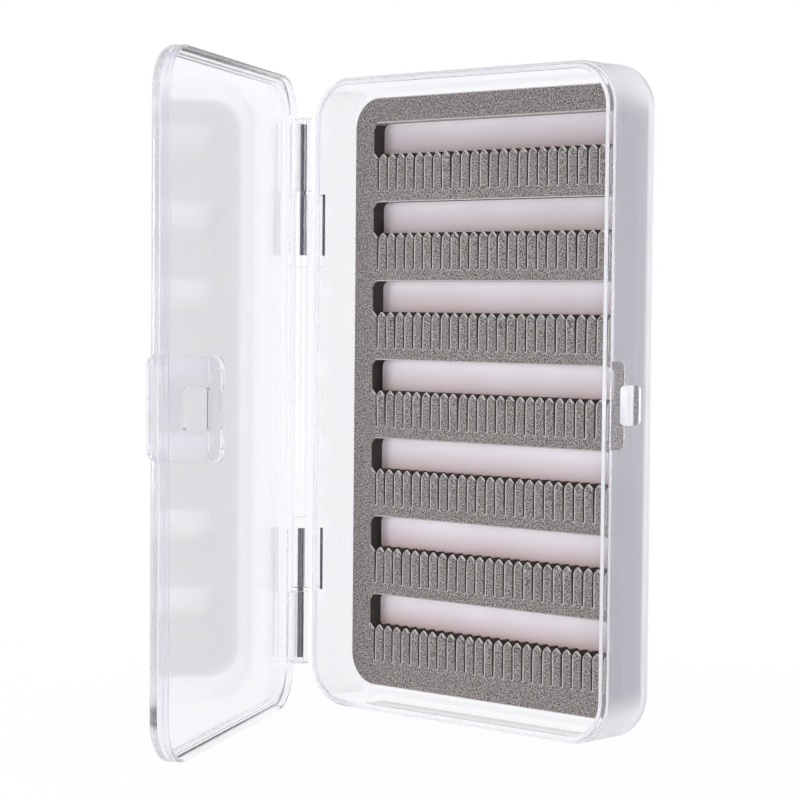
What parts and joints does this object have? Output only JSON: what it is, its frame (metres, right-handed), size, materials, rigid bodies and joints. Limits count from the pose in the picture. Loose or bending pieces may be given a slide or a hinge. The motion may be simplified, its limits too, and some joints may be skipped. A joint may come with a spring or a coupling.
{
  "type": "fly box",
  "caption": "Flat clear hinged case with a snap latch and a slit foam insert that holds fishing flies by their hooks.",
  "frame": {"origin": "middle of the flat on the tray's lower end, which the case stands on in the picture", "axes": "+Z along the case from its lower end to its upper end, +X across it from the hinge side to the latch side, -Y the way the tray opens"},
  "size_m": [0.0979, 0.103, 0.15],
  "materials": {
    "clear_tray": "clear and polished, with a satin band on the latch side",
    "clear_lid": "clear and polished",
    "pin_steel": "dark drawn wire",
    "grey_foam": "fine closed-cell foam, matte",
    "backing": "smooth pinkish-white film"
  },
  "bodies": {
    "tray_body": {"tray": "clear_tray", "foam_insert": "grey_foam", "backing_sheet": "backing"},
    "lid_body": {"lid": "clear_lid", "upper_hinge_pin": "pin_steel", "lower_hinge_pin": "pin_steel"}
  },
  "joints": [
    {"name": "lid_hinge", "type": "hinge", "parent": "tray_body", "child": "lid_body", "pos_m": [-0.0496, -0.0065, 0.075], "axis": [0, 0, -1], "range_deg": [-61.8, 118.2]}
  ]
}
